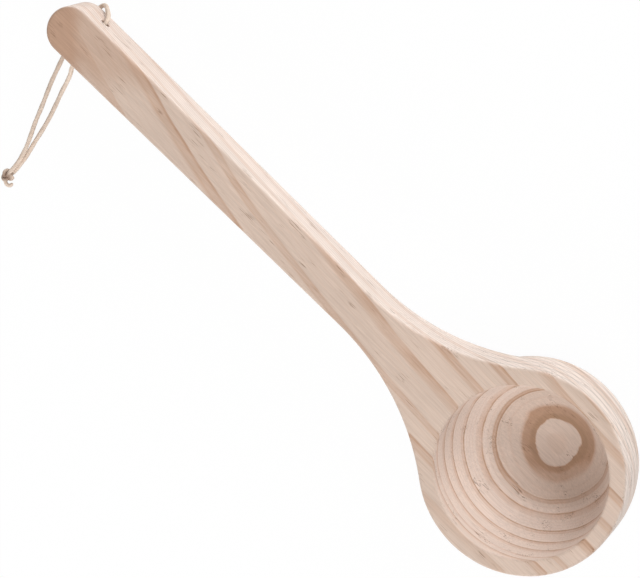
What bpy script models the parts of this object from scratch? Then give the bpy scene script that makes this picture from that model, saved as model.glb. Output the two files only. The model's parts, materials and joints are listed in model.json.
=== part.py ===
"""Wooden sauna ladle with a tied hanging lace, built in metres with +Z up.

The ladle is drawn in its own frame: x runs from the handle end to the cup, z = 0 is the
underside of the cup and the flat front face is at z = CUP_HEIGHT. An empty then lays it
down as it rests on a floor: on the rounded edge of the cup and on the lace under the handle.
"""
import math

import bmesh
import bpy
from mathutils import Matrix, Vector

# Ladle body
LADLE_LENGTH = 0.400
HANDLE_WIDTH_END = 0.0266
HANDLE_WIDTH_NECK = 0.0240
HANDLE_THICKNESS = 0.0265
HANDLE_END_LENGTH = 0.0126
NECK_RADIUS = 0.135
EDGE_RADIUS = 0.002
CUP_RADIUS = 0.0554
CUP_HEIGHT = 0.057
CUP_FOOT_RADIUS = 0.028
UNDERSIDE_FILLET = 0.010
RIM_WALL = 0.009
BOWL_FLOOR = 0.009
BOWL_POWER = 2.2
BOWL_LIP_RADIUS = 0.0015

# Hole across the handle and the lace in it
HOLE_DIAMETER = 0.005
HOLE_CHAMFER = 0.0005
HOLE_FROM_END = 0.0224
CORD_DIAMETER = 0.0024
CORD_UNDER_FROM_END = 0.0110
KNOT_WIDTH = 0.0078
KNOT_HEIGHT = 0.0062
TAIL_LENGTH = 0.0042

# Fits
CORD_GAP = 0.0003
TURNED_STEP = 0.0001
FILLET_INSET = 0.0005

# Facets
TURN_STEPS = 72
RIM_STEP_DEG = 5.0
NECK_STEPS = 10
END_STEPS = 7
ARC_STEPS = 8
BOWL_STEPS = 13

# Rounds of levelling, enough for the tilt to settle
LEVEL_ROUNDS = 12

# Free strands, as millimetre offsets in plan from where each leaves the handle. The third
# number is the height kept of the drop to the floor, the fourth is a lift over the other strand.
DIRECT_ROUTE = (
    (0.9, -4.5, 0.78, 0.0), (1.9, -10.0, 0.45, 0.0), (2.7, -16.0, 0.20, 0.0), (3.7, -23.0, 0.05, 0.0),
    (5.6, -31.0, 0.0, 0.0), (7.5, -39.0, 0.0, 0.0), (8.9, -47.0, 0.0, 0.0), (9.9, -54.5, 0.0, 0.0),
    (10.9, -61.0, 0.0, 0.0), (11.7, -67.5, 0.0, 0.0), (11.9, -73.5, 0.0, 0.0), (11.7, -77.3, 0.0, 0.0),
)
UNDER_ROUTE = (
    (1.3, -5.0, 0.6, 0.0), (3.0, -12.0, 0.2, 0.0), (6.0, -23.6, 0.0, 0.0), (10.2, -36.6, 0.0, 0.0),
    (13.3, -46.6, 0.0, 0.3), (16.2, -54.0, 0.0, 1.2), (18.6, -60.5, 0.0, 2.1), (20.0, -66.5, 0.0, 2.35),
    (20.6, -72.5, 0.0, 2.35), (20.5, -77.2, 0.0, 2.3),
)
KNOT_PLACE = (10.4, -81.7)

MM = 0.001


def clear_objects():
    """Empty the file of objects."""
    for item in list(bpy.data.objects):
        bpy.data.objects.remove(item, do_unlink=True)


def new_collection(name, hidden=False):
    """Add a collection to the scene."""
    group = bpy.data.collections.new(name)
    bpy.context.scene.collection.children.link(group)
    group.hide_render = hidden
    return group


def material(name, colour, roughness):
    """Make a Principled material of one colour."""
    made = bpy.data.materials.new(name)
    made.use_nodes = True
    shader = made.node_tree.nodes["Principled BSDF"]
    shader.inputs["Base Color"].default_value = (*colour, 1.0)
    shader.inputs["Roughness"].default_value = roughness
    shader.inputs["Metallic"].default_value = 0.0
    made.diffuse_color = (*colour, 1.0)
    return made


def place(name, mesh, group):
    """Put a mesh in a collection as a named object."""
    item = bpy.data.objects.new(name, mesh)
    group.objects.link(item)
    return item


def as_cutter(item):
    """Show an operand as wire and keep it out of the build."""
    item.hide_render = True
    item.display_type = "WIRE"
    return item


def curve_to_mesh(name, curve, group):
    """Turn a curve into a welded mesh object, keeping its place."""
    drawn = place(name + "_curve", curve, group)
    bpy.context.view_layer.update()
    evaluated = drawn.evaluated_get(bpy.context.evaluated_depsgraph_get())
    mesh = bpy.data.meshes.new_from_object(evaluated)
    matrix = drawn.matrix_world.copy()
    bpy.data.objects.remove(drawn, do_unlink=True)
    bpy.data.curves.remove(curve)
    body = bmesh.new()
    body.from_mesh(mesh)
    bmesh.ops.remove_doubles(body, verts=body.verts, dist=0.000005)
    bmesh.ops.recalc_face_normals(body, faces=body.faces)
    body.to_mesh(mesh)
    body.free()
    mesh.name = name
    item = place(name, mesh, group)
    item.matrix_world = matrix
    return item


def half_width(x):
    """Half the handle's width at a distance from its end."""
    start = HANDLE_WIDTH_END / 2
    stop = HANDLE_WIDTH_NECK / 2
    return start + (stop - start) * x / neck_start()


def cup_centre():
    """Distance from the handle end to the cup's axis."""
    return LADLE_LENGTH - CUP_RADIUS


def neck_start():
    """Where the neck arc leaves a handle side taken as parallel to the axis."""
    reach = (CUP_RADIUS + NECK_RADIUS) ** 2 - (HANDLE_WIDTH_NECK / 2 + NECK_RADIUS) ** 2
    return cup_centre() - math.sqrt(reach)


def side_outline(inset):
    """Points of the +Y half of the front outline, from the handle end to the far rim."""
    points = []
    tip_half = half_width(HANDLE_END_LENGTH) - inset
    tip_length = HANDLE_END_LENGTH - inset
    for step in range(END_STEPS):
        angle = math.radians(90) * step / END_STEPS
        points.append((inset + tip_length * (1 - math.cos(angle)), tip_half * math.sin(angle)))
    points.append((HANDLE_END_LENGTH, tip_half))
    arc_x = neck_start()
    arc_y = HANDLE_WIDTH_NECK / 2 + NECK_RADIUS
    turn = math.atan2(cup_centre() - arc_x, arc_y)
    for step in range(NECK_STEPS + 1):
        angle = turn * step / NECK_STEPS
        radius = NECK_RADIUS + inset
        points.append((arc_x + radius * math.sin(angle), arc_y - radius * math.cos(angle)))
    first = math.degrees(turn) + 90
    count = round(first / RIM_STEP_DEG)
    for step in range(1, count):
        angle = math.radians(first * (1 - step / count))
        radius = CUP_RADIUS - inset
        points.append((cup_centre() + radius * math.cos(angle), radius * math.sin(angle)))
    points.append((LADLE_LENGTH - inset, 0.0))
    return points


def front_outline(inset=0.0):
    """Whole front outline, both halves, as a closed loop."""
    upper = side_outline(inset)
    lower = [(x, -y) for x, y in upper[1:-1]]
    return upper[:1] + lower + upper[:0:-1]


def outline_prism(name, outline, bottom, top, edge, group):
    """Solid with a flat outline between two heights, its edges rounded by a radius."""
    curve = bpy.data.curves.new(name, "CURVE")
    curve.dimensions = "2D"
    curve.fill_mode = "BOTH"
    curve.extrude = (top - bottom) / 2 - edge
    curve.bevel_depth = edge
    curve.bevel_resolution = 1
    curve.offset = -edge
    spline = curve.splines.new("POLY")
    spline.points.add(len(outline) - 1)
    for point, (x, y) in zip(spline.points, outline):
        point.co = (x, y, 0.0, 1.0)
    spline.use_cyclic_u = True
    item = curve_to_mesh(name, curve, group)
    item.location.z = (top + bottom) / 2
    return item


def turned(name, profile, group, steps=TURN_STEPS):
    """Solid turned about its own Z from a profile that runs from axis to axis, top first."""
    mesh = bpy.data.meshes.new(name)
    points = [(radius, 0.0, height) for radius, height in profile]
    mesh.from_pydata(points, [(k, k + 1) for k in range(len(points) - 1)], [])
    item = place(name, mesh, group)
    screw = item.modifiers.new("turn", "SCREW")
    screw.axis = "Z"
    screw.steps = steps
    screw.render_steps = steps
    screw.use_merge_vertices = True
    screw.merge_threshold = 0.0001
    screw.use_smooth_shade = False
    return item


def arc(centre, radius, start_deg, stop_deg, steps):
    """Points on an arc in a turning profile."""
    points = []
    for step in range(steps + 1):
        angle = math.radians(start_deg + (stop_deg - start_deg) * step / steps)
        points.append((centre[0] + radius * math.cos(angle), centre[1] + radius * math.sin(angle)))
    return points


def cup_foot_flat():
    """Radius of the flat under the cup."""
    return CUP_RADIUS - TURNED_STEP - CUP_FOOT_RADIUS


def cup_outside(group):
    """Turned outside of the cup, started inside the thickness of the handle."""
    radius = CUP_RADIUS - TURNED_STEP
    top = CUP_HEIGHT - HANDLE_THICKNESS / 3
    foot = arc((cup_foot_flat(), CUP_FOOT_RADIUS), CUP_FOOT_RADIUS, 0, -90, ARC_STEPS)
    return turned("cup_outside", [(0.0, top), (radius, top), *foot, (0.0, 0.0)], group)


def underside_fillet(group):
    """Turned disc whose hollow edge eases the handle's underside into the cup."""
    underside = CUP_HEIGHT - HANDLE_THICKNESS
    low = underside - UNDERSIDE_FILLET
    wall = cup_foot_flat() + math.sqrt(CUP_FOOT_RADIUS ** 2 - (CUP_FOOT_RADIUS - low) ** 2)
    reach = wall - TURNED_STEP * 2 + UNDERSIDE_FILLET
    hollow = arc((reach, low), UNDERSIDE_FILLET, 90, 180, ARC_STEPS)
    top = underside + EDGE_RADIUS * 2
    return turned("underside_fillet", [(0.0, top), (reach, top), *hollow, (0.0, low)], group)


def bowl_hollow(group):
    """Turned inside of the cup with a rounded lip, a wall's thickness inside the cup."""
    inner = CUP_RADIUS - RIM_WALL
    lip_centre = (inner + BOWL_LIP_RADIUS, CUP_HEIGHT - BOWL_LIP_RADIUS)
    lip = arc(lip_centre, BOWL_LIP_RADIUS, 120, 180, 4)
    above = CUP_HEIGHT + EDGE_RADIUS * 2
    mouth = lip[0][0] + above - lip[0][1]
    profile = [(0.0, above), (mouth, above), *lip]
    depth = CUP_HEIGHT - BOWL_FLOOR - BOWL_LIP_RADIUS
    for step in range(1, BOWL_STEPS + 1):
        angle = math.radians(90) * step / BOWL_STEPS
        radius = inner * abs(math.cos(angle)) ** (2 / BOWL_POWER)
        drop = depth * math.sin(angle) ** (2 / BOWL_POWER)
        if step == BOWL_STEPS:
            radius = 0.0
        profile.append((radius, CUP_HEIGHT - BOWL_LIP_RADIUS - drop))
    return turned("bowl_hollow", profile, group)


def lace_hole(group):
    """Hole across the handle, eased at both mouths."""
    inner = HOLE_DIAMETER / 2
    face = half_width(HOLE_FROM_END)
    outer = inner + HOLE_CHAMFER * 4
    far = face + HOLE_CHAMFER * 3
    profile = [(0.0, far), (outer, far), (inner, face - HOLE_CHAMFER)]
    profile += [(inner, HOLE_CHAMFER - face), (outer, -far), (0.0, -far)]
    cutter = turned("lace_hole", profile, group, steps=24)
    cutter.rotation_euler.x = math.radians(90)
    cutter.location = (HOLE_FROM_END, 0.0, CUP_HEIGHT - HANDLE_THICKNESS / 2)
    return cutter


def combine(item, other, operation):
    """Add an exact Boolean."""
    step = item.modifiers.new(other.name, "BOOLEAN")
    step.operation = operation
    step.solver = "EXACT"
    step.object = other


def ladle_body(parts, cutters, finish):
    """Cup, neck and handle, carved from one piece of wood."""
    underside = CUP_HEIGHT - HANDLE_THICKNESS
    body = outline_prism("ladle_body", front_outline(), underside, CUP_HEIGHT, EDGE_RADIUS, parts)
    inside = front_outline(EDGE_RADIUS + FILLET_INSET)
    limit = outline_prism("neck_limit", inside, underside / 3, CUP_HEIGHT, 0.0, cutters)
    fillet = underside_fillet(cutters)
    fillet.location.x = cup_centre()
    outside = cup_outside(cutters)
    outside.location.x = cup_centre()
    hollow = bowl_hollow(cutters)
    hollow.location.x = cup_centre()
    hole = lace_hole(cutters)
    combine(fillet, limit, "INTERSECT")
    combine(body, outside, "UNION")
    combine(body, fillet, "UNION")
    combine(body, hollow, "DIFFERENCE")
    combine(body, hole, "DIFFERENCE")
    for cutter in (limit, fillet, outside, hollow, hole):
        as_cutter(cutter)
    body.data.materials.clear()
    body.data.materials.append(finish)
    return body


def smooth_path(points, spacing):
    """Points at an even spacing on a smooth curve through a route, no lower than its lowest point."""
    ends = [points[0] * 2 - points[1], *points, points[-1] * 2 - points[-2]]
    dense = [points[0].copy()]
    for a, b, c, d in zip(ends, ends[1:], ends[2:], ends[3:]):
        for step in range(1, 17):
            t = step / 16
            dense.append(((b * 2) + (c - a) * t + (a * 2 - b * 5 + c * 4 - d) * t ** 2
                          + (b * 3 - a - c * 3 + d) * t ** 3) / 2)
    length = sum((q - p).length for p, q in zip(dense, dense[1:]))
    count = max(2, round(length / spacing))
    path = [dense[0]]
    walked = 0.0
    for p, q in zip(dense, dense[1:]):
        walked += (q - p).length
        if walked >= length * len(path) / count - 1e-9 and len(path) < count:
            path.append(q)
    path.append(dense[-1])
    lowest = min(point.z for point in points)
    return [Vector((point.x, point.y, max(point.z, lowest))) for point in path]


def cord_tube(name, path, origin, group, round_start=False):
    """Round cord along a path, with a ball end where it turns on the joint axis."""
    radius = CORD_DIAMETER / 2
    points = [(point - origin, 1.0) for point in path]
    if round_start:
        along = (points[0][0] - points[1][0]).normalized()
        ball = [(points[0][0] + along * radius * math.cos(angle), math.sin(angle))
                for angle in (math.radians(8), math.radians(30), math.radians(58))]
        points = ball + points
    curve = bpy.data.curves.new(name, "CURVE")
    curve.dimensions = "3D"
    curve.bevel_depth = radius
    curve.bevel_resolution = 2
    curve.use_fill_caps = True
    spline = curve.splines.new("POLY")
    spline.points.add(len(points) - 1)
    for node, (place_at, scale) in zip(spline.points, points):
        node.co = (*place_at, 1.0)
        node.radius = scale
    return curve_to_mesh(name, curve, group)


def wrap_route(exit_y):
    """Lace from the hole's -Y mouth, through the handle, round its +Y side and back under it."""
    mid = CUP_HEIGHT - HANDLE_THICKNESS / 2
    under = CUP_HEIGHT - HANDLE_THICKNESS - CORD_GAP - CORD_DIAMETER / 2
    side = half_width(HOLE_FROM_END)
    drop = mid - under
    back = HOLE_FROM_END - CORD_UNDER_FROM_END
    far = side + CORD_DIAMETER * 1.35
    route = [(0.0, -exit_y, mid), (0.0, -side / 2, mid), (0.0, 0.0, mid), (0.0, side / 2, mid)]
    route += [(0.0, side * 0.97, mid), (-0.04 * back, side + CORD_DIAMETER * 0.75, mid - drop * 0.04)]
    route += [(-0.18 * back, far, mid - drop * 0.19), (-0.41 * back, far, mid - drop * 0.43)]
    route += [(-0.64 * back, far, mid - drop * 0.68), (-0.85 * back, side + CORD_DIAMETER * 0.85, mid - drop * 0.90)]
    route += [(-0.97 * back, side * 0.97, under), (-back, side * 0.66, under)]
    route += [(-back, 0.0, under), (-back, -side / 2, under), (-back, -exit_y, under)]
    return [Vector((HOLE_FROM_END + x, y, z)) for x, y, z in route]


def free_route(start, route):
    """One free strand in the part's frame, from where it leaves the handle to the knot."""
    floor = CORD_DIAMETER / 2
    points = [start]
    for east, north, kept, lift in route:
        height = floor + (start.z - floor) * kept + lift * MM
        points.append(Vector((start.x + east * MM, start.y + north * MM, height)))
    return points


def knot_body(centre, origin, group, cutters):
    """Tied knot with its two cut ends, simplified to one solid."""
    mesh = bpy.data.meshes.new("cord_knot")
    body = bmesh.new()
    bmesh.ops.create_uvsphere(body, u_segments=20, v_segments=12, radius=0.5)
    bmesh.ops.scale(body, vec=(KNOT_WIDTH, KNOT_WIDTH * 1.05, KNOT_HEIGHT), verts=body.verts)
    bmesh.ops.translate(body, vec=centre - origin, verts=body.verts)
    body.to_mesh(mesh)
    body.free()
    knot = place("cord_knot", mesh, group)
    for side, sideways in (("a", 0.55), ("b", -0.35)):
        inside = centre + Vector((sideways * KNOT_WIDTH * 0.25, -KNOT_WIDTH * 0.2, -KNOT_HEIGHT * 0.1))
        heading = Vector((sideways, -1.0, 0.0)).normalized()
        reach = KNOT_WIDTH * 0.3 + TAIL_LENGTH
        path = [inside, inside + heading * reach * 0.5, inside + heading * reach]
        for step, point in enumerate(path[1:], 1):
            point.z = inside.z + (CORD_DIAMETER / 2 + CORD_GAP / 3 - inside.z) * step / 2
        tail = as_cutter(cord_tube("knot_tail_" + side, path, origin, cutters))
        tail.parent = knot
        combine(knot, tail, "UNION")
    return knot


def lay_down(frame, body):
    """Tip the ladle onto its cup edge and the lace, and centre its body over the origin."""
    bpy.context.view_layer.update()
    solid = body.evaluated_get(bpy.context.evaluated_depsgraph_get())
    corners = [solid.matrix_world @ corner.co for corner in solid.data.vertices]
    under = Vector((CORD_UNDER_FROM_END, 0.0, CUP_HEIGHT - HANDLE_THICKNESS - CORD_GAP - CORD_DIAMETER / 2))
    tilt = math.atan2(under.z, cup_centre())
    for _ in range(LEVEL_ROUNDS):
        turn = Matrix.Rotation(-tilt, 4, "Y")
        lift = -min((turn @ corner).z for corner in corners)
        tilt += ((turn @ under).z + lift - CORD_DIAMETER / 2) / cup_centre()
    turn = Matrix.Rotation(-tilt, 4, "Y")
    across = [(turn @ corner).x for corner in corners]
    frame.rotation_euler.y = -tilt
    frame.location = (-(min(across) + max(across)) / 2, 0.0, lift)
    return Matrix.Translation(frame.location) @ turn


def build():
    """Build every part of the ladle."""
    clear_objects()
    parts = new_collection("sauna_ladle")
    cutters = new_collection("sauna_ladle_cutters", hidden=True)
    pine = material("pale_pine", (0.68, 0.50, 0.37), 0.62)
    lace = material("natural_lace", (0.60, 0.45, 0.35), 0.75)
    knot_lace = material("natural_lace_knot", (0.36, 0.24, 0.17), 0.78)

    frame = bpy.data.objects.new("ladle_rest", None)
    parts.objects.link(frame)
    body = ladle_body(parts, cutters, pine)
    matrix = lay_down(frame, body)
    body.parent = frame
    for cutter in list(cutters.objects):
        cutter.parent = frame

    exit_y = half_width(HOLE_FROM_END)
    axis_y = -(exit_y + CORD_GAP + CORD_DIAMETER / 2)
    route = wrap_route(exit_y)
    wrap = cord_tube("cord_wrap", smooth_path(route, CORD_DIAMETER * 1.1), Vector((0, 0, 0)), parts)
    wrap.parent = frame
    wrap.data.materials.append(lace)

    upper = matrix @ Vector((route[0].x, axis_y, route[0].z))
    lower = matrix @ Vector((route[-1].x, axis_y, route[-1].z))
    direct = free_route(upper, DIRECT_ROUTE)
    under = free_route(lower, UNDER_ROUTE)
    pivot = bpy.data.objects.new("cord_pivot", None)
    parts.objects.link(pivot)
    pivot.location = upper
    spacing = CORD_DIAMETER * 2
    strands = [cord_tube("cord_strand_direct", smooth_path(direct, spacing), upper, parts, True)]
    strands.append(cord_tube("cord_strand_under", smooth_path(under, spacing), upper, parts, True))
    centre = Vector((upper.x + KNOT_PLACE[0] * MM, upper.y + KNOT_PLACE[1] * MM, KNOT_HEIGHT / 2))
    knot = knot_body(centre, upper, parts, cutters)
    for piece, finish in ((strands[0], lace), (strands[1], lace), (knot, knot_lace)):
        piece.parent = pivot
        piece.data.materials.append(finish)


build()
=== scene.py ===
"""Looks of a wooden sauna ladle with a tied hanging lace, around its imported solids."""
import json
import math

import bmesh
import bpy
from mathutils import Matrix, Vector


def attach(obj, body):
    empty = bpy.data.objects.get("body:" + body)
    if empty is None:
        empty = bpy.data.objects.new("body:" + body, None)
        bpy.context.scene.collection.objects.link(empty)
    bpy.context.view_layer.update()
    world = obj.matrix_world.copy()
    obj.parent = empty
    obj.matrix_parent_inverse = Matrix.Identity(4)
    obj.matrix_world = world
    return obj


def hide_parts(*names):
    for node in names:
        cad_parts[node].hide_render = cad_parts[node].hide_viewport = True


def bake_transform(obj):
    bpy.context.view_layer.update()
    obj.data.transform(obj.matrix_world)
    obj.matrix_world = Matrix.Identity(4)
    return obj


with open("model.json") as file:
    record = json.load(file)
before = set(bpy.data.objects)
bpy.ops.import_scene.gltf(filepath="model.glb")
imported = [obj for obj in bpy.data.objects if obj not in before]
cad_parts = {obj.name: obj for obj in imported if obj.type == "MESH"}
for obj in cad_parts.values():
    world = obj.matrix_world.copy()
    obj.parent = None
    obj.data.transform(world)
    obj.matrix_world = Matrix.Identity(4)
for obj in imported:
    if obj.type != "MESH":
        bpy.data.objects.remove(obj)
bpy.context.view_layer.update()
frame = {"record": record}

# Ladle sizes in metres, as the solids have them. x runs from the handle end to the cup, z = 0 is
# the underside of the cup and the flat front face is at z = CUP_HEIGHT.
LADLE_LENGTH = 0.400
HANDLE_WIDTH_END = 0.0266
HANDLE_WIDTH_NECK = 0.0240
HANDLE_THICKNESS = 0.0265
HANDLE_END_LENGTH = 0.0126
NECK_RADIUS = 0.135
EDGE_RADIUS = 0.002
CUP_RADIUS = 0.0554
CUP_HEIGHT = 0.057
CUP_FOOT_RADIUS = 0.028
UNDERSIDE_FILLET = 0.010
RIM_WALL = 0.009
BOWL_FLOOR = 0.009
BOWL_POWER = 2.2
BOWL_LIP_RADIUS = 0.0015
HOLE_DIAMETER = 0.005
HOLE_CHAMFER = 0.0005
HOLE_FROM_END = 0.0224
FILLET_INSET = 0.0005

# Fineness of the shown mesh, and the step that keeps the turned cup just inside the slab's rim
TURNED_STEP = 0.00002
WELD_DISTANCE = 0.000002
AXIS_MERGE = 0.00002
TURN_STEPS = 192
HOLE_STEPS = 48
RIM_STEP_DEG = 2.0
NECK_STEPS = 36
END_STEPS = 24
ARC_STEPS = 24
BOWL_STEPS = 48
EDGE_STEPS = 5
PATH_STEPS = 24
LIP_START_DEG = 100
FLAT_FACE_WEIGHT = 100

MM_PER_M = 1000

# Lace in metres, its route as the solids have it: the strand out of the hole from the knot to the
# handle, the run through the hole and round under the handle, and the strand from there to the knot
LACE_DIAMETER = 0.0024
DIRECT_ROUTE = (
    (-0.16533, -0.09197, 0.0012), (-0.16513, -0.08817, 0.0012), (-0.16533, -0.08217, 0.0012),
    (-0.16613, -0.07567, 0.0012), (-0.16713, -0.06917, 0.0012), (-0.16813, -0.06167, 0.0012),
    (-0.16953, -0.05367, 0.0012), (-0.17143, -0.04567, 0.0012), (-0.17333, -0.03767, 0.00199),
    (-0.17433, -0.03067, 0.00434), (-0.17513, -0.02467, 0.00827), (-0.17613, -0.01917, 0.01346),
)
WRAP_ROUTE = (
    (-0.17703, -0.01317, 0.01692), (-0.17703, -0.00658, 0.01692), (-0.17703, 0.0, 0.01692),
    (-0.17703, 0.00658, 0.01692), (-0.17703, 0.01277, 0.01692), (-0.17743, 0.01497, 0.01629),
    (-0.17882, 0.01641, 0.01394), (-0.18111, 0.01641, 0.01018), (-0.18339, 0.01641, 0.00627),
    (-0.18548, 0.01521, 0.00282), (-0.18671, 0.01277, 0.00123), (-0.18705, 0.00869, 0.0012),
    (-0.18705, 0.0, 0.0012), (-0.18705, -0.00658, 0.0012), (-0.18705, -0.01317, 0.0012),
)
UNDER_ROUTE = (
    (-0.18575, -0.01967, 0.0012), (-0.18405, -0.02667, 0.0012), (-0.18105, -0.03827, 0.0012),
    (-0.17685, -0.05127, 0.0012), (-0.17375, -0.06127, 0.0015), (-0.17085, -0.06867, 0.0024),
    (-0.16845, -0.07517, 0.0033), (-0.16705, -0.08117, 0.00355), (-0.16645, -0.08717, 0.00355),
    (-0.16655, -0.09187, 0.0035),
)
LACE_STEP = 0.0005
LACE_SIDES = 20
LACE_SQUARENESS = 2.6
LACE_FULLNESS = 0.96
LACE_TWIST_LENGTH = 0.055
# Swells along the lace: size as a share of the diameter, turns in radians per metre, and start
LACE_SWELLS = ((0.03, 700.0, 0.0), (0.02, 1900.0, 1.0))
# Where the free pieces begin, as a share of the way from the handle's middle to the lace round its side
LACE_SPLIT = 1 / 3
# Fine lines along the lace and patches across it: noise round it and per metre along it
LACE_LINES = (14.0, 120.0, 1.0)
LACE_PATCHES = (1.5, 260.0, 1.0)
LACE_LINE_SHARE = 0.6
LACE_PATCH_SHARE = 0.5
LACE_DARK_STEP = (0.20, 1.00)
LACE_ROUGHNESS = 0.55
LACE_ROUGHNESS_SPREAD = 0.25
LACE_SHEEN = 0.25
LACE_BUMP = 0.5
LACE_LIGHT = (0.80, 0.68, 0.58, 1.0)
LACE_DARK = (0.60, 0.45, 0.35, 1.0)

# Knot: one flat overhand turn, the strands that lead into it and two short tails, in metres
KNOT_CENTRE = (-0.16655, -0.09530, 0.0021)
KNOT_REACH = 0.00098
KNOT_LIFT = 0.0009
KNOT_TURN_DEG = -15.0
KNOT_STEPS = 96
KNOT_LACE = 0.0021
# Colour of the painted shade in the knot's folds, and its share
KNOT_FOLD_SHADE = (0.20, 0.11, 0.07, 1.0)
KNOT_FOLD_SHADE_SHARE = 0.85
# Distances from the knot's middle at which the painted shade of the folds begins and is full
KNOT_FOLD_SHADE_REACH = (0.0049, 0.00147)
# Width of a tail at its last rings, from the cut end back
TAIL_END_SHARES = (0.55, 0.82, 0.95)
KNOT_LEADS = (
    ((-0.16527, -0.09098, 0.0012), (-0.16543, -0.09258, 0.0014), (-0.16595, -0.09400, 0.0020),
     (-0.16680, -0.09540, 0.0024)),
    ((-0.16652, -0.09098, 0.0035), (-0.16660, -0.09248, 0.0036), (-0.16650, -0.09380, 0.0034),
     (-0.16615, -0.09540, 0.0026)),
)
KNOT_TAILS = (
    ((-0.16632, -0.09550, 0.0022), (-0.16600, -0.09770, 0.0016), (-0.16500, -0.09920, 0.0012),
     (-0.16350, -0.09970, 0.0012), (-0.16215, -0.09900, 0.0012), (-0.16170, -0.09770, 0.0012),
     (-0.16220, -0.09660, 0.0014)),
    ((-0.16632, -0.09510, 0.0024), (-0.16492, -0.09450, 0.0026), (-0.16372, -0.09430, 0.0018),
     (-0.16282, -0.09430, 0.0012)),
)

# Growth rings, in millimetres from the cup's axis (x), the middle plane (y) and the front face (z).
# Layers rise towards +Y, lie flatter the deeper they are, and drift along the handle.
RING_TILT = 0.70
RING_FAN = 0.012
RING_RUN = 0.028
RING_BEND = -0.00023
RING_TWIST = 0.0006
# Deep in the bowl the layers dip to both sides of a line, which draws the last ring out to an oval
OVAL_AXIS = (0.72, 0.69, 0.0)
OVAL_PLACE = 7.8
OVAL_REACH = 20.0
OVAL_SQUEEZE = 0.0036
OVAL_HEIGHTS = (-42.5, -45.5)
# Wavers of the layers: noise per millimetre along x, y and z, and how far it moves them
RING_WAVERS = (((0.012, 0.035, 0.035), 2.0), ((0.05, 0.22, 0.22), 0.4), ((0.04, 0.9, 0.9), 0.2))
# Where each ring ends in dark latewood, from the top of the blank down, and how dark it is there
RINGS = (
    (-52.0, 0.35), (-42.0, 0.35), (-31.5, 0.20), (-19.8, 0.38), (-12.2, 0.30), (0.3, 0.40), (11.1, 0.40),
    (22.0, 0.42), (33.8, 0.34), (39.8, 0.46), (47.55, 0.64), (54.5, 0.50), (61.0, 0.50), (68.0, 0.45),
)
# Shares of a ring's thickness between which its band darkens, its last line darkens, and it ends
BAND_SHARES = (0.64, 0.75)
LINE_SHARES = (0.86, 0.95)
END_SHARES = (1.0, 0.965)
# How dark the last line and the slow darkening are beside the band
LINE_STRENGTH = 0.40
SLOPE_STRENGTH = 0.22
# On the bowl's wall the line is darker, partly the wood's own colour and partly painted shade, and the
# band paler, and the rings are fainter outside and in front
WALL_LINE_SHADE_GAIN = 0.60
WALL_BAND_CHANGE = -0.45
OUTSIDE_RING_CHANGE = -0.6
FRONT_RING_CHANGE = -0.25
# Depths over which the wood counts as deep in the bowl, and over which a band starts sooner by a share
DEEP_DEPTHS = (33.0, 41.0)
SOON_DEPTHS = (37.0, 41.0)
SOON_SHARE = 0.04
# Uneven strength of the rings, steadier deep in the bowl and weaker there along one direction
PATCH_GRAIN = (0.03, 0.10, 0.10)
PATCH_MIDDLE = 0.98
PATCH_SPREAD = 1.9
DEEP_PATCH_CHANGE = -1.3
WEAK_AXIS = (0.82, -0.57, 0.0)
WEAK_REACH = (3.0, 14.0)
WEAK_CHANGE = -0.34
# Fine lines between the rings, and lines that follow the rim on the +Y side of the cup
FINE_LINE_SPACING = 2.1
FINE_LINE_START = 0.40
FINE_LINE_SHARE = 0.10
OUTSIDE_LINE_SHARE = 0.13
RIM_LINE_SPACING = 6.5
RIM_LINE_START = 0.55
RIM_LINE_SHARE = 0.17
RIM_LINE_SLOPE = -0.03
RIM_LINE_GRAIN = (0.02, 0.04, 0.07)
RIM_LINE_WAVER = 9.0
RIM_LINE_SIDE = (16.0, 36.0)
# Where the planed front gives way to the other faces, and the rim to the outside of the cup
FRONT_HEIGHTS = (-1.6, -0.1)
RIM_BLEND = (1.0, 3.0)
# Streaks along the grain: noise per millimetre, and the share of the colour it takes
FIBRE_GRAIN = (0.03, 1.1, 1.1)
FIBRE_SHARE = 0.45
THREAD_GRAIN = (0.06, 3.2, 3.2)
THREAD_SHARE = 0.30
CLOUD_GRAIN = (0.012, 0.05, 0.05)
CLOUD_SHARE = 0.25
# Short dark flecks and the areas they gather in
FLECK_GRAIN = (0.10, 2.4, 2.4)
FLECK_STEP = (0.60, 0.70)
FLECK_AREAS = (0.06, 0.16, 0.16)
FLECK_AREA_STEP = (0.58, 0.68)
FLECK_SHARE = 0.65
# Stain near the handle end: slant across the handle, where it has faded out and where it is full, in
# millimetres from the end, and its share of the colour
STAINS = ((0.96, 25.0, 13.0, 0.47), (-1.2, 66.0, 40.0, 0.46))
STAIN_GRAIN = (0.05, 0.12, 0.12)
STAIN_WAVER = 12.0
OUTSIDE_STAIN_CHANGE = -0.8
# Colours of the wood, from pale to dark, the tones of its faces, and painted shade low in the bowl
EARLYWOOD = (0.80, 0.685, 0.615, 1.0)
AMBER = (0.62, 0.42, 0.31, 1.0)
AMBER_GAIN = 1.5
LATEWOOD = (0.47, 0.31, 0.21, 1.0)
LATEWOOD_STEP = (0.38, 1.00)
FRONT_TONE = (0.76, 0.695, 0.64, 1.0)
# Painted shade: the wood is darker low in the bowl
BOWL_DEPTH_SHADE = (0.83, 0.80, 0.77, 1.0)
FLECK_COLOUR = (0.20, 0.11, 0.06, 1.0)
STAIN_COLOUR = (0.46, 0.285, 0.195, 1.0)
WOOD_ROUGHNESS = 0.5
WOOD_ROUGHNESS_SPREAD = 0.2
WOOD_SHEEN = 0.3
WOOD_BUMP = 0.3
RING_BUMP_SHARE = 0.5
# Height of the fine relief on the wood and the lace, in metres
BUMP_HEIGHT = 0.0002

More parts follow.
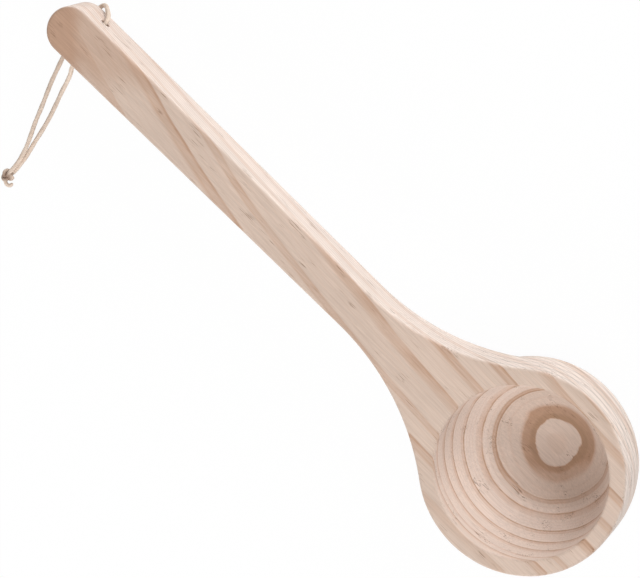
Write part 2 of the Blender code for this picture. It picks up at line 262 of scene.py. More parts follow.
# Soft lamps: name, power in watts, size and place in metres
LAMPS = (
    ("side", 18.4, 1.0, (-0.45, 1.45, 0.62)),
    ("overhead", 16.0, 1.2, (0.9, 0.25, 1.6)),
    ("fill", 16.5, 1.2, (0.1, -1.4, 0.70)),
)
WHITE = (1.0, 1.0, 1.0, 1.0)
SURROUND = 0.25
# Floor, and how far it is topped up to white where it is seen
FLOOR_COLOUR = (0.86, 0.86, 0.86, 1.0)
FLOOR_ROUGHNESS = 0.9
FLOOR_REACH = 4.0
FLOOR_WHITE = 0.97

# Camera in the photograph's place, in the part's frame
CAMERA_PLACE = (0.02039, 0.53069, 1.51511)
CAMERA_TARGET = (0.00180, -0.00696, 0.040)
CAMERA_ROLL_DEG = 135.54
CAMERA_LENS = 168.75
CAMERA_SENSOR = 36.0


def node(tree, kind, links=None, values=None, **settings):
    """Add a shader node, link sockets into its inputs and set its values and settings."""
    made = tree.nodes.new(kind)
    for name, value in settings.items():
        setattr(made, name, value)
    for name, value in (values or {}).items():
        made.inputs[name].default_value = value
    for name, socket in (links or {}).items():
        tree.links.new(socket, made.inputs[name])
    return made


def new_material(name):
    """Empty Principled material: its tree and its shader."""
    made = bpy.data.materials.new(name)
    made.use_nodes = True
    return made, made.node_tree, made.node_tree.nodes["Principled BSDF"]


def show(name, mesh, finish):
    """Put a mesh in the scene under a name with a material."""
    item = bpy.data.objects.new(name, mesh)
    bpy.context.scene.collection.objects.link(item)
    mesh.materials.clear()
    mesh.materials.append(finish)
    return item


def ladle_matrix():
    """Where the ladle's own frame lies in the part's frame, from the foot mount of the record."""
    foot = frame["record"]["mounts"][0]
    tilt = math.atan2(foot["axis"][0], -foot["axis"][2])
    turn = Matrix.Rotation(-tilt, 4, "Y")
    return Matrix.Translation(foot["pos_m"]) @ turn @ Matrix.Translation((-cup_centre(), 0.0, 0.0))


def cup_centre():
    """Distance from the handle end to the cup's axis."""
    return LADLE_LENGTH - CUP_RADIUS


def neck_start():
    """Where the neck arc leaves a handle side taken as parallel to the axis."""
    reach = (CUP_RADIUS + NECK_RADIUS) ** 2 - (HANDLE_WIDTH_NECK / 2 + NECK_RADIUS) ** 2
    return cup_centre() - math.sqrt(reach)


def half_width(x):
    """Half the handle's width at a distance from its end."""
    start = HANDLE_WIDTH_END / 2
    stop = HANDLE_WIDTH_NECK / 2
    return start + (stop - start) * x / neck_start()


def side_outline(inset):
    """Points of the +Y half of the front outline, from the handle end to the far rim."""
    points = []
    tip_half = half_width(HANDLE_END_LENGTH) - inset
    tip_length = HANDLE_END_LENGTH - inset
    for step in range(END_STEPS):
        angle = math.radians(90) * step / END_STEPS
        points.append((inset + tip_length * (1 - math.cos(angle)), tip_half * math.sin(angle)))
    points.append((HANDLE_END_LENGTH, tip_half))
    arc_x = neck_start()
    arc_y = HANDLE_WIDTH_NECK / 2 + NECK_RADIUS
    turn = math.atan2(cup_centre() - arc_x, arc_y)
    for step in range(NECK_STEPS + 1):
        angle = turn * step / NECK_STEPS
        radius = NECK_RADIUS + inset
        points.append((arc_x + radius * math.sin(angle), arc_y - radius * math.cos(angle)))
    first = math.degrees(turn) + 90
    count = round(first / RIM_STEP_DEG)
    for step in range(1, count):
        angle = math.radians(first * (1 - step / count))
        radius = CUP_RADIUS - inset
        points.append((cup_centre() + radius * math.cos(angle), radius * math.sin(angle)))
    points.append((LADLE_LENGTH - inset, 0.0))
    return points


def front_outline(inset=0.0):
    """Whole front outline, both halves, as a closed loop."""
    upper = side_outline(inset)
    lower = [(x, -y) for x, y in upper[1:-1]]
    return upper[:1] + lower + upper[:0:-1]


def helper(name, data):
    """Object in the scene that is not a shown piece."""
    item = bpy.data.objects.new(name, data)
    bpy.context.scene.collection.objects.link(item)
    return item


def evaluated_mesh(item):
    """The object's mesh with its modifiers, in the scene's frame."""
    bpy.context.view_layer.update()
    seen = item.evaluated_get(bpy.context.evaluated_depsgraph_get())
    mesh = bpy.data.meshes.new_from_object(seen)
    mesh.transform(item.matrix_world)
    return mesh


def discard(*items):
    """Remove objects from the scene."""
    for item in items:
        bpy.data.objects.remove(item, do_unlink=True)


def outline_prism(name, outline, bottom, top, edge):
    """Solid with a flat outline between two heights, its edges rounded by a radius."""
    curve = bpy.data.curves.new(name, "CURVE")
    curve.dimensions = "2D"
    curve.fill_mode = "BOTH"
    curve.extrude = (top - bottom) / 2 - edge
    curve.bevel_depth = edge
    curve.bevel_resolution = EDGE_STEPS
    curve.offset = -edge
    spline = curve.splines.new("POLY")
    spline.points.add(len(outline) - 1)
    for point, (x, y) in zip(spline.points, outline):
        point.co = (x, y, 0.0, 1.0)
    spline.use_cyclic_u = True
    drawn = helper(name, curve)
    drawn.location.z = (top + bottom) / 2
    mesh = evaluated_mesh(drawn)
    discard(drawn)
    body = bmesh.new()
    body.from_mesh(mesh)
    bmesh.ops.remove_doubles(body, verts=body.verts, dist=WELD_DISTANCE)
    bmesh.ops.recalc_face_normals(body, faces=body.faces)
    body.to_mesh(mesh)
    body.free()
    return helper(name, mesh)


def turned(name, profile, steps=TURN_STEPS):
    """Solid turned about its own Z from a profile that runs from axis to axis, top first."""
    mesh = bpy.data.meshes.new(name)
    points = [(radius, 0.0, height) for radius, height in profile]
    mesh.from_pydata(points, [(k, k + 1) for k in range(len(points) - 1)], [])
    item = helper(name, mesh)
    screw = item.modifiers.new("turn", "SCREW")
    screw.axis = "Z"
    screw.steps = steps
    screw.render_steps = steps
    screw.use_merge_vertices = True
    screw.merge_threshold = AXIS_MERGE
    return item


def arc(centre, radius, start_deg, stop_deg, steps):
    """Points on an arc in a turning profile."""
    points = []
    for step in range(steps + 1):
        angle = math.radians(start_deg + (stop_deg - start_deg) * step / steps)
        points.append((centre[0] + radius * math.cos(angle), centre[1] + radius * math.sin(angle)))
    return points


def cup_foot_flat():
    """Radius of the flat under the cup."""
    return CUP_RADIUS - TURNED_STEP - CUP_FOOT_RADIUS


def cup_outside():
    """Turned outside of the cup, started inside the thickness of the handle."""
    radius = CUP_RADIUS - TURNED_STEP
    top = CUP_HEIGHT - HANDLE_THICKNESS / 3
    foot = arc((cup_foot_flat(), CUP_FOOT_RADIUS), CUP_FOOT_RADIUS, 0, -90, ARC_STEPS)
    return turned("cup_outside", [(0.0, top), (radius, top), *foot, (0.0, 0.0)])


def underside_fillet():
    """Turned disc whose hollow edge eases the handle's underside into the cup."""
    underside = CUP_HEIGHT - HANDLE_THICKNESS
    low = underside - UNDERSIDE_FILLET
    wall = cup_foot_flat() + math.sqrt(CUP_FOOT_RADIUS ** 2 - (CUP_FOOT_RADIUS - low) ** 2)
    reach = wall - TURNED_STEP * 2 + UNDERSIDE_FILLET
    hollow = arc((reach, low), UNDERSIDE_FILLET, 90, 180, ARC_STEPS)
    top = underside + EDGE_RADIUS * 2
    return turned("underside_fillet", [(0.0, top), (reach, top), *hollow, (0.0, low)])


def bowl_hollow():
    """Turned inside of the cup with a rounded lip, a wall's thickness inside the cup."""
    inner = CUP_RADIUS - RIM_WALL
    lip_centre = (inner + BOWL_LIP_RADIUS, CUP_HEIGHT - BOWL_LIP_RADIUS)
    lip = arc(lip_centre, BOWL_LIP_RADIUS, LIP_START_DEG, 180, EDGE_STEPS * 2)
    above = CUP_HEIGHT + EDGE_RADIUS * 2
    mouth = lip[0][0] + above - lip[0][1]
    profile = [(0.0, above), (mouth, above), *lip]
    depth = CUP_HEIGHT - BOWL_FLOOR - BOWL_LIP_RADIUS
    for step in range(1, BOWL_STEPS + 1):
        angle = math.radians(90) * step / BOWL_STEPS
        radius = inner * abs(math.cos(angle)) ** (2 / BOWL_POWER)
        drop = depth * math.sin(angle) ** (2 / BOWL_POWER)
        if step == BOWL_STEPS:
            radius = 0.0
        profile.append((radius, CUP_HEIGHT - BOWL_LIP_RADIUS - drop))
    return turned("bowl_hollow", profile)


def lace_hole():
    """Hole across the handle, eased at both mouths."""
    inner = HOLE_DIAMETER / 2
    face = half_width(HOLE_FROM_END)
    outer = inner + HOLE_CHAMFER * 4
    far = face + HOLE_CHAMFER * 3
    profile = [(0.0, far), (outer, far), (inner, face - HOLE_CHAMFER)]
    profile += [(inner, HOLE_CHAMFER - face), (outer, -far), (0.0, -far)]
    cutter = turned("lace_hole", profile, HOLE_STEPS)
    cutter.rotation_euler.x = math.radians(90)
    cutter.location = (HOLE_FROM_END, 0.0, CUP_HEIGHT - HANDLE_THICKNESS / 2)
    return cutter


def combine(item, other, operation):
    """Add an exact Boolean."""
    step = item.modifiers.new(other.name, "BOOLEAN")
    step.operation = operation
    step.solver = "EXACT"
    step.object = other


def ladle_mesh():
    """Cup, neck and handle in one fine mesh, in the part's frame."""
    underside = CUP_HEIGHT - HANDLE_THICKNESS
    body = outline_prism("slab", front_outline(), underside, CUP_HEIGHT, EDGE_RADIUS)
    inside = front_outline(EDGE_RADIUS + FILLET_INSET)
    limit = outline_prism("neck_limit", inside, underside / 3, CUP_HEIGHT, 0.0)
    fillet = underside_fillet()
    outside = cup_outside()
    hollow = bowl_hollow()
    hole = lace_hole()
    for part in (fillet, outside, hollow):
        part.location.x = cup_centre()
    combine(fillet, limit, "INTERSECT")
    combine(body, outside, "UNION")
    combine(body, fillet, "UNION")
    combine(body, hollow, "DIFFERENCE")
    combine(body, hole, "DIFFERENCE")
    mesh = evaluated_mesh(body)
    discard(body, limit, fillet, outside, hollow, hole)
    mesh.transform(ladle_matrix())
    mesh.name = "ladle"
    for face in mesh.polygons:
        face.use_smooth = True
    return mesh


def smooth_path(points, spacing, lowest):
    """Points at an even spacing on a smooth curve through a route, no lower than a height."""
    points = [Vector(point) for point in points]
    ends = [points[0] * 2 - points[1], *points, points[-1] * 2 - points[-2]]
    dense = [points[0]]
    for a, b, c, d in zip(ends, ends[1:], ends[2:], ends[3:]):
        for step in range(1, PATH_STEPS + 1):
            t = step / PATH_STEPS
            dense.append(((b * 2) + (c - a) * t + (a * 2 - b * 5 + c * 4 - d) * t ** 2
                          + (b * 3 - a - c * 3 + d) * t ** 3) / 2)
    for point in dense:
        point.z = max(point.z, lowest)
    path = [dense[0]]
    walked = 0.0
    for p, q in zip(dense, dense[1:]):
        step = (q - p).length
        while walked + step >= spacing:
            p = p.lerp(q, (spacing - walked) / step)
            path.append(p)
            step = (q - p).length
            walked = 0.0
        walked += step
    return path


def tube_rings(path, diameter, closed=False):
    """Rings of points round a path: a rounded square that swells a little and twists slowly."""
    rings = []
    side = None
    last = len(path) - 1
    for k, point in enumerate(path):
        before = path[(k - 1) % len(path)] if closed else path[max(k - 1, 0)]
        after = path[(k + 1) % len(path)] if closed else path[min(k + 1, last)]
        along = (after - before).normalized()
        if side is None:
            side = along.orthogonal().normalized()
        side = (side - along * side.dot(along)).normalized()
        other = along.cross(side)
        walked = k * LACE_STEP
        twist = 0.0 if closed else 2 * math.pi * walked / LACE_TWIST_LENGTH
        swell = 1 + sum(size * math.sin(walked * rate + start) for size, rate, start in LACE_SWELLS)
        ring = []
        for step in range(LACE_SIDES):
            angle = 2 * math.pi * step / LACE_SIDES
            flat = abs(math.cos(angle)) ** LACE_SQUARENESS + abs(math.sin(angle)) ** LACE_SQUARENESS
            reach = diameter / 2 * swell * LACE_FULLNESS * flat ** (-1 / LACE_SQUARENESS)
            turned_by = angle + twist
            ring.append(point + (side * math.cos(turned_by) + other * math.sin(turned_by)) * reach)
        rings.append(ring)
    return rings


def rounded_end(rings, path):
    """Draw in the last rings of a tube to a blunt round end."""
    for back, share in enumerate(TAIL_END_SHARES, 1):
        middle = path[-back]
        rings[-back] = [middle + (point - middle) * share for point in rings[-back]]
    return rings


def tube_mesh(name, tubes):
    """Tubes, each a list of rings and whether it joins itself, mapped round and along the lace."""
    body = bmesh.new()
    uv = body.loops.layers.uv.new("lace")
    for rings, closed in tubes:
        made = [[body.verts.new(point) for point in ring] for ring in rings]
        count = len(rings[0])
        pairs = list(zip(made, made[1:]))
        if closed:
            pairs.append((made[-1], made[0]))
        for k, (a, b) in enumerate(pairs):
            for step in range(count):
                after = (step + 1) % count
                face = body.faces.new((a[step], a[after], b[after], b[step]))
                corners = ((step, k), (step + 1, k), (step + 1, k + 1), (step, k + 1))
                for loop, (around, along) in zip(face.loops, corners):
                    loop[uv].uv = (around / count, along * LACE_STEP)
        if not closed:
            body.faces.new(made[0][::-1])
            body.faces.new(made[-1])
    for face in body.faces:
        face.smooth = True
    bmesh.ops.recalc_face_normals(body, faces=body.faces)
    mesh = bpy.data.meshes.new(name)
    body.to_mesh(mesh)
    body.free()
    return mesh


def knot_turn():
    """Points of the overhand turn, a closed loop with three lobes."""
    turn = Matrix.Rotation(math.radians(KNOT_TURN_DEG), 3, "Z")
    points = []
    for step in range(KNOT_STEPS):
        t = 2 * math.pi * step / KNOT_STEPS
        flat = Vector((math.sin(t) + 2 * math.sin(2 * t), math.cos(t) - 2 * math.cos(2 * t), 0.0))
        points.append(Vector(KNOT_CENTRE) + turn @ flat * KNOT_REACH
                      + Vector((0.0, 0.0, -math.sin(3 * t) * KNOT_LIFT)))
    return points


def maths(tree, operation, *values):
    """Result of a Math node on sockets or numbers."""
    made = tree.nodes.new("ShaderNodeMath")
    made.operation = operation
    for socket, value in zip(made.inputs, values):
        if isinstance(value, (int, float)):
            socket.default_value = value
        else:
            tree.links.new(value, socket)
    return made.outputs[0]


def soft_step(tree, value, low, high):
    """0 below one value, 1 above another, smooth between; falls where low is the larger."""
    made = node(tree, "ShaderNodeMapRange", {"Value": value}, {"From Min": low, "From Max": high},
                interpolation_type="SMOOTHSTEP")
    return made.outputs["Result"]


def mixed(tree, share, first, second):
    """Colour between two, each a socket or a written colour."""
    made = node(tree, "ShaderNodeMix", data_type="RGBA")
    for name, value in (("Factor", share), ("A", first), ("B", second)):
        socket = next(s for s in made.inputs if s.name == name and s.enabled)
        if isinstance(value, (int, float, tuple)):
            socket.default_value = value
        else:
            tree.links.new(value, socket)
    return next(s for s in made.outputs if s.enabled)


def noise(tree, place, grain, detail=3.0, rough=0.55):
    """Noise between 0 and 1 with a scale along each axis of a place."""
    stretched = node(tree, "ShaderNodeMapping", {"Vector": place}, {"Scale": grain})
    made = node(tree, "ShaderNodeTexNoise", {"Vector": stretched.outputs["Vector"]},
                {"Scale": 1.0, "Detail": detail, "Roughness": rough})
    return made.outputs["Fac"]


def curve(tree, value, points):
    """Straight-sided graph through points whose places and heights lie between 0 and 1."""
    made = node(tree, "ShaderNodeFloatCurve", {"Value": value})
    line = made.mapping.curves[0]
    while len(line.points) < len(points):
        line.points.new(0.5, 0.5)
    for point, place in zip(line.points, points):
        point.location = place
        point.handle_type = "VECTOR"
    made.mapping.update()
    return made.outputs["Value"]


def scaled(tree, value, share, change):
    """A value times one plus a share of a change."""
    return maths(tree, "MULTIPLY", value, maths(tree, "MULTIPLY_ADD", share, change, 1.0))


def added(tree, total, value, share):
    """A total plus a share of a value."""
    return maths(tree, "MULTIPLY_ADD", value, share, total)


def centred(tree, value):
    """Noise brought from about a half to about 0."""
    return maths(tree, "SUBTRACT", value, 0.5)


def tinted(tree, colour, tone, share):
    """A colour times a tone, as far as a share says."""
    tone = mixed(tree, share, WHITE, tone)
    return node(tree, "ShaderNodeVectorMath", {0: colour, 1: tone}, operation="MULTIPLY").outputs[0]


def axes(tree, place):
    """The x, y and z of a place."""
    split = node(tree, "ShaderNodeSeparateXYZ", {"Vector": place})
    return [split.outputs[axis] for axis in "XYZ"]


def distance_along(tree, place, direction):
    """How far a place lies along a direction."""
    made = node(tree, "ShaderNodeVectorMath", {0: place}, {1: direction}, operation="DOT_PRODUCT")
    return made.outputs["Value"]


def ladle_place(tree):
    """Place on the ladle in millimetres, from the cup's axis, the middle plane and the front face."""
    inverse = ladle_matrix().inverted()
    start = (inverse.translation - Vector((cup_centre(), 0.0, CUP_HEIGHT))) * MM_PER_M
    spot = node(tree, "ShaderNodeTexCoord").outputs["Object"]
    made = node(tree, "ShaderNodeMapping", {"Vector": spot},
                {"Location": start, "Rotation": inverse.to_euler(), "Scale": (MM_PER_M,) * 3})
    return made.outputs["Vector"]


def oval_dip(tree, place, height):
    """Square of the distance to the line that the layers dip away from, deep in the bowl."""
    across = maths(tree, "SUBTRACT", distance_along(tree, place, OVAL_AXIS), OVAL_PLACE)
    across = maths(tree, "MINIMUM", maths(tree, "MULTIPLY", across, across), OVAL_REACH ** 2)
    return maths(tree, "MULTIPLY", across, soft_step(tree, height, *OVAL_HEIGHTS))


def ring_depth(tree, place):
    """Depth of a point in the stack of growth rings, in millimetres."""
    x, y, z = axes(tree, place)
    tilt = maths(tree, "MULTIPLY_ADD", z, RING_FAN, RING_TILT)
    tilt = added(tree, tilt, x, RING_TWIST)
    run = maths(tree, "MULTIPLY_ADD", x, RING_BEND, RING_RUN)
    depth = maths(tree, "MULTIPLY", y, tilt)
    depth = added(tree, depth, x, run)
    depth = maths(tree, "SUBTRACT", depth, z)
    depth = added(tree, depth, oval_dip(tree, place, z), -OVAL_SQUEEZE)
    for grain, height in RING_WAVERS:
        depth = added(tree, depth, centred(tree, noise(tree, place, grain, detail=2.0)), height)
    return depth


def latewood(tree, depth, outside, wall):
    """Latewood at a depth: each ring darkens slowly, then in a band and a last line, and ends sharply."""
    first = RINGS[0][0]
    span = RINGS[-1][0] - first
    count = len(RINGS) - 1
    share = maths(tree, "DIVIDE", maths(tree, "SUBTRACT", depth, first), span)
    edges = [(edge - first) / span for edge, dark in RINGS]
    number = curve(tree, share, [(edge, k / count) for k, edge in enumerate(edges)])
    dark = curve(tree, share, [(edge, ring[1]) for edge, ring in zip(edges, RINGS)])
    phase = maths(tree, "FRACT", maths(tree, "MULTIPLY", number, float(count)))
    early = added(tree, phase, soft_step(tree, depth, *SOON_DEPTHS), SOON_SHARE)
    band = scaled(tree, soft_step(tree, early, *BAND_SHARES), wall, WALL_BAND_CHANGE)
    # On the bowl's wall the last line is darker: partly the wood's own colour, partly painted shade
    strength = maths(tree, "MULTIPLY_ADD", wall, WALL_LINE_SHADE_GAIN, LINE_STRENGTH)
    line = maths(tree, "MULTIPLY", soft_step(tree, phase, *LINE_SHARES), strength)
    late = maths(tree, "ADD", line, band)
    late = maths(tree, "MULTIPLY", late, soft_step(tree, phase, *END_SHARES))
    late = added(tree, late, phase, SLOPE_STRENGTH)
    late = maths(tree, "MULTIPLY", late, dark)
    return scaled(tree, late, outside, OUTSIDE_RING_CHANGE)


def even_lines(tree, level, spacing, start):
    """Thin lines at an even spacing of a level, wider where they start lower on a wave."""
    wave = maths(tree, "SINE", maths(tree, "MULTIPLY", level, 2 * math.pi / spacing))
    return soft_step(tree, wave, start, 1.0)


def rim_lines(tree, place, outside):
    """Thin lines that follow the rim on the +Y side of the cup."""
    x, y, z = axes(tree, place)
    level = added(tree, z, x, RIM_LINE_SLOPE)
    level = added(tree, level, noise(tree, place, RIM_LINE_GRAIN, detail=2.0), RIM_LINE_WAVER)
    lines = even_lines(tree, level, RIM_LINE_SPACING, RIM_LINE_START)
    side = maths(tree, "MULTIPLY", soft_step(tree, y, *RIM_LINE_SIDE), outside)
    return maths(tree, "MULTIPLY", lines, side)


def front_face(tree, place):
    """1 on the planed front face, 0 on the turned and sawn faces."""
    height = axes(tree, place)[2]
    return soft_step(tree, height, *FRONT_HEIGHTS)


def outside_face(tree, place, front):
    """1 on the sawn sides and the outside of the cup, 0 on the front and in the bowl."""
    level = node(tree, "ShaderNodeVectorMath", {0: place}, {1: (1.0, 1.0, 0.0)}, operation="MULTIPLY")
    away = node(tree, "ShaderNodeVectorMath", {0: level.outputs[0]}, operation="LENGTH")
    bowl = (CUP_RADIUS - RIM_WALL) * MM_PER_M
    beyond = soft_step(tree, away.outputs["Value"], bowl + RIM_BLEND[0], bowl + RIM_BLEND[1])
    return maths(tree, "MULTIPLY", beyond, maths(tree, "SUBTRACT", 1.0, front))


def deep_face(tree, depth, outside):
    """1 low down in the bowl, 0 outside and higher up."""
    inner = maths(tree, "SUBTRACT", 1.0, outside)
    return maths(tree, "MULTIPLY", soft_step(tree, depth, *DEEP_DEPTHS), inner)


def wall_face(tree, front, outside, deep):
    """1 on the bowl's wall above its deep part, 0 elsewhere."""
    others = maths(tree, "ADD", maths(tree, "ADD", front, outside), deep)
    return maths(tree, "MAXIMUM", maths(tree, "SUBTRACT", 1.0, others), 0.0)


def ring_strength(tree, place, deep):
    """Uneven strength of the rings, weaker on one side of the ring deep in the bowl."""
    patchy = centred(tree, noise(tree, place, PATCH_GRAIN))
    spread = maths(tree, "MULTIPLY_ADD", deep, DEEP_PATCH_CHANGE, PATCH_SPREAD)
    patchy = maths(tree, "MULTIPLY_ADD", patchy, spread, PATCH_MIDDLE)
    weak = soft_step(tree, distance_along(tree, place, WEAK_AXIS), *WEAK_REACH)
    return added(tree, patchy, maths(tree, "MULTIPLY", weak, deep), WEAK_CHANGE)


def end_stain(tree, place):
    """Share of the brown stain that fades out a short way from the handle end."""
    x, y = axes(tree, place)[:2]
    end = -cup_centre() * MM_PER_M
    edge = added(tree, x, centred(tree, noise(tree, place, STAIN_GRAIN, detail=2.0)), STAIN_WAVER)
    share = 0.0
    for slant, faded, full, strength in STAINS:
        slanted = added(tree, edge, y, slant)
        share = added(tree, share, soft_step(tree, slanted, end + faded, end + full), strength)
    return share


def flecks(tree, place):
    """Share of the short dark dashes along the grain, gathered in a few places."""
    dash = soft_step(tree, noise(tree, place, FLECK_GRAIN, detail=0.0), *FLECK_STEP)
    gathered = soft_step(tree, noise(tree, place, FLECK_AREAS, detail=1.0), *FLECK_AREA_STEP)
    return maths(tree, "MULTIPLY", maths(tree, "MULTIPLY", dash, gathered), FLECK_SHARE)


def ring_colour(tree, late, front, deep):
    """Colour of the rings, from pale earlywood through amber to dark latewood, toned by face, with
    painted shade low in the bowl.
    """
    colour = mixed(tree, maths(tree, "MULTIPLY", late, AMBER_GAIN), EARLYWOOD, AMBER)
    colour = mixed(tree, soft_step(tree, late, *LATEWOOD_STEP), colour, LATEWOOD)
    colour = tinted(tree, colour, FRONT_TONE, front)
    # Painted shade: darker low in the bowl
    return tinted(tree, colour, BOWL_DEPTH_SHADE, deep)


def set_finish(tree, shader, colour, rough, sheen, height, bump):
    """Give a shader its colour, roughness, sheen and fine relief."""
    relief = node(tree, "ShaderNodeBump", {"Height": height}, {"Strength": bump, "Distance": BUMP_HEIGHT})
    tree.links.new(colour, shader.inputs["Base Color"])
    tree.links.new(rough, shader.inputs["Roughness"])
    tree.links.new(relief.outputs["Normal"], shader.inputs["Normal"])
    shader.inputs["Specular IOR Level"].default_value = sheen


def wood():
    """Sanded pine: growth rings, fibres, short dark flecks and a stain near the handle end, with painted
    shade low in the bowl and on the lines of its wall.
    """
    made, tree, shader = new_material("pale_pine")
    place = ladle_place(tree)
    depth = ring_depth(tree, place)
    front = front_face(tree, place)
    outside = outside_face(tree, place, front)
    deep = deep_face(tree, depth, outside)
    fine = even_lines(tree, depth, FINE_LINE_SPACING, FINE_LINE_START)
    late = latewood(tree, depth, outside, wall_face(tree, front, outside, deep))
    late = added(tree, late, fine, FINE_LINE_SHARE)
    late = scaled(tree, late, front, FRONT_RING_CHANGE)
    late = maths(tree, "MULTIPLY", late, ring_strength(tree, place, deep))
    colour = ring_colour(tree, late, front, deep)
    stain = scaled(tree, end_stain(tree, place), outside, OUTSIDE_STAIN_CHANGE)
    colour = mixed(tree, stain, colour, STAIN_COLOUR)
    fibre = noise(tree, place, FIBRE_GRAIN, detail=4.0, rough=0.65)
    thread = noise(tree, place, THREAD_GRAIN, detail=2.0, rough=0.6)
    cloud = noise(tree, place, CLOUD_GRAIN, detail=2.0)
    streak = 1.0
    for value, share in ((fibre, FIBRE_SHARE), (thread, THREAD_SHARE), (cloud, CLOUD_SHARE)):
        streak = added(tree, streak, centred(tree, value), share)
    streak = added(tree, streak, maths(tree, "MULTIPLY", fine, outside), -OUTSIDE_LINE_SHARE)
    streak = added(tree, streak, rim_lines(tree, place, outside), -RIM_LINE_SHARE)
    streaked = node(tree, "ShaderNodeVectorMath", {0: colour, "Scale": streak}, operation="SCALE")
    colour = mixed(tree, flecks(tree, place), streaked.outputs[0], FLECK_COLOUR)
    rough = maths(tree, "MULTIPLY_ADD", fibre, WOOD_ROUGHNESS_SPREAD, WOOD_ROUGHNESS)
    height = added(tree, maths(tree, "ADD", fibre, thread), late, RING_BUMP_SHARE)
    set_finish(tree, shader, colour, rough, WOOD_SHEEN, height, WOOD_BUMP)
    return made


def leather(name, painted_fold_shade):
    """Undyed lace with fine lines along it, with painted shade in the folds where it is knotted."""
    made, tree, shader = new_material(name)
    spot = node(tree, "ShaderNodeUVMap", uv_map="lace").outputs["UV"]
    lines = noise(tree, spot, LACE_LINES)
    patches = noise(tree, spot, LACE_PATCHES, detail=2.0)
    share = added(tree, maths(tree, "MULTIPLY", patches, LACE_PATCH_SHARE), lines, LACE_LINE_SHARE)
    colour = mixed(tree, soft_step(tree, share, *LACE_DARK_STEP), LACE_LIGHT, LACE_DARK)
    if painted_fold_shade:
        # Painted shade of the folds: darker towards the knot's middle
        where = node(tree, "ShaderNodeTexCoord").outputs["Object"]
        away = node(tree, "ShaderNodeVectorMath", {0: where}, {1: KNOT_CENTRE}, operation="DISTANCE")
        fold_shade = soft_step(tree, away.outputs["Value"], *KNOT_FOLD_SHADE_REACH)
        colour = mixed(tree, maths(tree, "MULTIPLY", fold_shade, KNOT_FOLD_SHADE_SHARE), colour, KNOT_FOLD_SHADE)
    rough = maths(tree, "MULTIPLY_ADD", lines, LACE_ROUGHNESS_SPREAD, LACE_ROUGHNESS)
    set_finish(tree, shader, colour, rough, LACE_SHEEN, lines, LACE_BUMP)
    return made


def add_ladle():
    """The ladle's body in place of its solid."""
    item = show("ladle", ladle_mesh(), wood())
    normals = item.modifiers.new("flat_faces", "WEIGHTED_NORMAL")
    normals.weight = FLAT_FACE_WEIGHT
    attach(item, "ladle")
    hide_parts("ladle_body")


def add_lace():
    """The lace: two free strands, and the run through the hole and round under the handle."""
    finish = leather("natural_lace", False)
    radius = LACE_DIAMETER / 2
    path = smooth_path(DIRECT_ROUTE + WRAP_ROUTE + UNDER_ROUTE, LACE_STEP, radius)
    rings = tube_rings(path, LACE_DIAMETER)
    inside = max(point[1] for point in WRAP_ROUTE) * LACE_SPLIT
    first = next(k for k, point in enumerate(path) if point.y > -inside)
    last = len(path) - next(k for k, point in enumerate(path[::-1]) if point.y > -inside)
    pieces = (("lace_direct", 0, first, "cord_strand_direct"), ("lace_wrap", first, last, "cord_wrap"),
              ("lace_under", last, len(path) - 1, "cord_strand_under"))
    made = {}
    for name, start, stop, solid in pieces:
        item = show(name, tube_mesh(name, [(rings[start:stop + 1], False)]), finish)
        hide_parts(solid)
        made[name] = (item, path[start:stop + 1])
    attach(made["lace_wrap"][0], "ladle")
    for name in ("lace_direct", "lace_under"):
        item, line = made[name]
        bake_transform(item)


def add_knot():
    """The knot in the lace's two ends, in place of its solid."""
    tubes = [(tube_rings(knot_turn(), KNOT_LACE, closed=True), True)]
    for route in KNOT_LEADS:
        tubes.append((tube_rings(smooth_path(route, LACE_STEP, KNOT_LACE / 2), KNOT_LACE), False))
    for route in KNOT_TAILS:
        line = smooth_path(route, LACE_STEP, KNOT_LACE / 2)
        tubes.append((rounded_end(tube_rings(line, KNOT_LACE), line), False))
    item = show("lace_knot", tube_mesh("lace_knot", tubes), leather("natural_lace_knot", True))
    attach(item, "cord_loop")
    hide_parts("cord_knot")


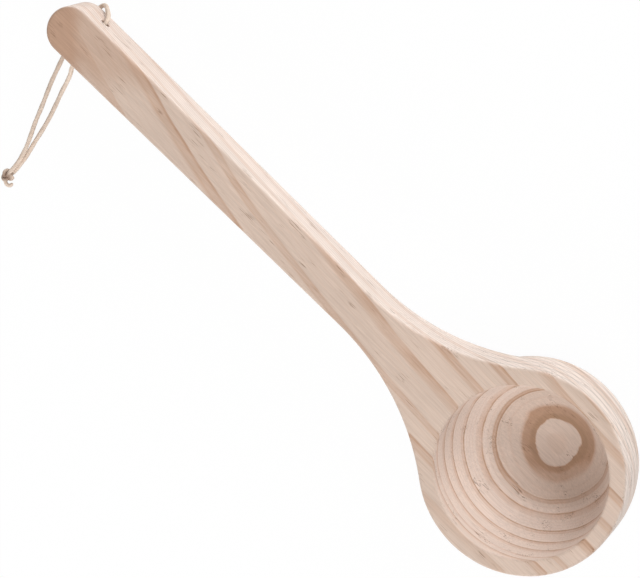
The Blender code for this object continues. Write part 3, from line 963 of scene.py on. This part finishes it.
def add_floor():
    """Plain pale floor that the camera sees topped up to white, with the shadow still on it."""
    made, tree, shader = new_material("floor")
    shader.inputs["Base Color"].default_value = FLOOR_COLOUR
    shader.inputs["Roughness"].default_value = FLOOR_ROUGHNESS
    path = node(tree, "ShaderNodeLightPath")
    seen = maths(tree, "MAXIMUM", path.outputs["Is Camera Ray"], path.outputs["Is Glossy Ray"])
    seen = maths(tree, "MAXIMUM", seen, path.outputs["Is Transmission Ray"])
    white = node(tree, "ShaderNodeEmission", values={"Strength": 1.0})
    share = maths(tree, "MULTIPLY", seen, FLOOR_WHITE)
    both = node(tree, "ShaderNodeMixShader", {"Fac": share, 1: shader.outputs["BSDF"],
                                              2: white.outputs["Emission"]})
    tree.links.new(both.outputs["Shader"], tree.nodes["Material Output"].inputs["Surface"])
    mesh = bpy.data.meshes.new("floor")
    body = bmesh.new()
    bmesh.ops.create_grid(body, x_segments=1, y_segments=1, size=FLOOR_REACH)
    body.to_mesh(mesh)
    body.free()
    show("floor", mesh, made)


def add_lamp(name, power, size, place):
    """Soft area lamp aimed at the object."""
    lamp = bpy.data.lights.new(name, "AREA")
    lamp.energy = power
    lamp.size = size
    item = helper(name, lamp)
    item.location = place
    item.rotation_euler = (-item.location).to_track_quat("-Z", "Y").to_euler()


def add_light():
    """Soft lamps low over the +Y side, overhead and from the -Y side, and an even white surround."""
    world = bpy.data.worlds.new("surround")
    bpy.context.scene.world = world
    world.use_nodes = True
    background = world.node_tree.nodes["Background"]
    background.inputs["Strength"].default_value = SURROUND
    background.inputs["Color"].default_value = WHITE
    for lamp in LAMPS:
        add_lamp(*lamp)


def add_camera():
    """Camera at the photograph's place."""
    data = bpy.data.cameras.new("camera")
    data.lens = CAMERA_LENS
    data.sensor_width = CAMERA_SENSOR
    item = helper("camera", data)
    place = Vector(CAMERA_PLACE)
    aim = (Vector(CAMERA_TARGET) - place).to_track_quat("-Z", "Y").to_matrix().to_4x4()
    roll = Matrix.Rotation(-math.radians(CAMERA_ROLL_DEG), 4, "Z")
    item.matrix_world = Matrix.Translation(place) @ aim @ roll
    bpy.context.scene.camera = item


add_ladle()
add_lace()
add_knot()
add_floor()
add_light()
add_camera()
bpy.context.scene.view_settings.view_transform = "Standard"
